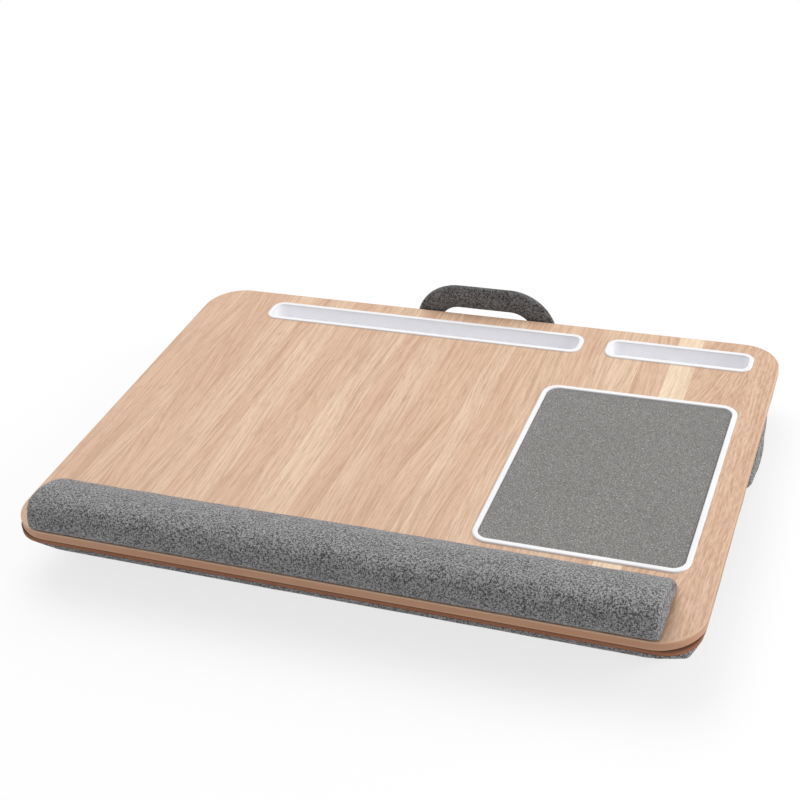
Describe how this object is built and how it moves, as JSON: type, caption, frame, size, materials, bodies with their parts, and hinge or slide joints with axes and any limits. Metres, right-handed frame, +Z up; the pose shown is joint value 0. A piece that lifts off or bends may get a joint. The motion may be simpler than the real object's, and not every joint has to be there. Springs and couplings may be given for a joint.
{
  "type": "cushioned lap desk",
  "caption": "Lap desk: wood-grain board on two soft bolsters, with wrist rest, framed mouse pad, tablet and phone slot trays and a fold-down carry handle.",
  "frame": {"origin": "middle of the footprint, handle included, on the surface that the bolsters rest on", "axes": "+X to the user's right along the board's long side, +Y from the user to the back, +Z up"},
  "size_m": [0.57, 0.416, 0.0885],
  "materials": {
    "fibreboard": "raw pressed fibre, matt",
    "wood_laminate": "pale oak grain, satin",
    "edge_band": "wood-toned band, satin",
    "white_plastic": "white, semi-gloss",
    "pad_leather": "grey leatherette, fine pebble grain",
    "pad_foam": "closed-cell foam, matt",
    "melange_fabric": "grey melange weave",
    "foam": "open-cell foam",
    "hardboard": "dark pressed hardboard, matt",
    "cushion_fabric": "dark grey melange weave",
    "bead_fill": "foam beads",
    "handle_fabric": "dark grey weave",
    "stiffener_plastic": "black sheet plastic",
    "webbing": "dark webbing",
    "screw_steel": "zinc-plated steel"
  },
  "bodies": {
    "desk": {"board_core": "fibreboard", "top_laminate": "wood_laminate", "edge_band": "edge_band", "tablet_tray": "white_plastic", "phone_tray": "white_plastic", "mouse_pad_frame": "white_plastic", "mouse_pad_sheet": "pad_leather", "mouse_pad_backing": "pad_foam", "wrist_rest_cover": "melange_fabric", "wrist_rest_foam": "foam", "wrist_rest_base": "fibreboard", "wrist_rest_screws": "screw_steel", "base_panel": "hardboard", "panel_screws": "screw_steel", "deck_foam": "foam", "deck_cover": "cushion_fabric", "front_bolster_cover": "cushion_fabric", "front_bolster_fill": "bead_fill", "rear_bolster_cover": "cushion_fabric", "rear_bolster_fill": "bead_fill", "handle_tabs": "webbing", "handle_screws": "screw_steel", "handle_washers": "screw_steel"},
    "carry_handle": {"handle_cover": "handle_fabric", "handle_stiffener": "stiffener_plastic"}
  },
  "joints": [
    {"name": "handle_fold", "type": "hinge", "parent": "desk", "child": "carry_handle", "pos_m": [0, 0.205, 0.04175], "axis": [1, 0, 0], "range_deg": [-165, 4]}
  ]
}
